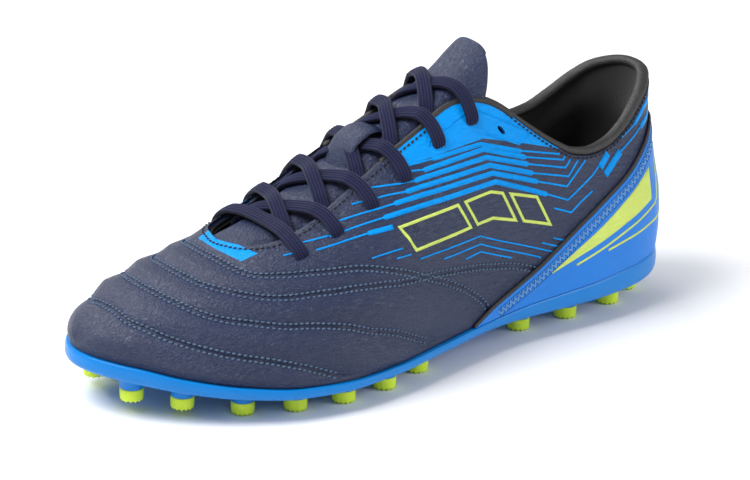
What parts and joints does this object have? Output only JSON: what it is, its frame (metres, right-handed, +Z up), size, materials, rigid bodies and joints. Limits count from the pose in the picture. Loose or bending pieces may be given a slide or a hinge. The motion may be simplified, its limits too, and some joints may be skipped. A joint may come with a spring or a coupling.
{
  "type": "soccer shoe",
  "caption": "Low left soccer shoe for artificial turf: hollow stitched upper, laced throat, tongue, heel overlay and a plate with moulded studs.",
  "frame": {"origin": "on the floor under the middle of the shoe's box", "axes": "+X to the toe, +Y to the outer side of the left foot, +Z up"},
  "size_m": [0.2852, 0.1052, 0.1235],
  "materials": {
    "plate": "smooth moulded blue plate with a soft gloss",
    "stud_tips": "lime moulded rubber",
    "upper_leather": "navy synthetic leather with a fine grain and printed stripes",
    "heel_overlay": "blue synthetic leather with a fine grain",
    "lining": "black padded knit",
    "tongue_leather": "navy synthetic leather",
    "laces": "flat ribbed navy cord",
    "insole_foam": "black knit over foam"
  },
  "bodies": {
    "root": {"outsole": "plate", "stud_tip_1": "stud_tips", "stud_tip_2": "stud_tips", "stud_tip_3": "stud_tips", "stud_tip_4": "stud_tips", "stud_tip_5": "stud_tips", "stud_tip_6": "stud_tips", "stud_tip_7": "stud_tips", "stud_tip_8": "stud_tips", "stud_tip_9": "stud_tips", "stud_tip_10": "stud_tips", "stud_tip_11": "stud_tips", "stud_tip_12": "stud_tips", "stud_tip_13": "stud_tips", "stud_tip_14": "stud_tips", "stud_tip_15": "stud_tips", "stud_tip_16": "stud_tips", "stud_tip_17": "stud_tips", "stud_tip_18": "stud_tips", "stud_tip_19": "stud_tips", "stud_tip_20": "stud_tips", "stud_tip_21": "stud_tips", "stud_tip_22": "stud_tips", "stud_tip_23": "stud_tips", "stud_tip_24": "stud_tips", "upper": "upper_leather", "heel_counter": "heel_overlay", "insole": "insole_foam", "tongue": "tongue_leather", "collar_roll": "lining", "lace_bar": "laces", "lace_crossing_1": "laces", "lace_crossing_2": "laces", "lace_crossing_3": "laces", "lace_crossing_4": "laces", "lace_crossing_5": "laces"}
  },
  "joints": []
}
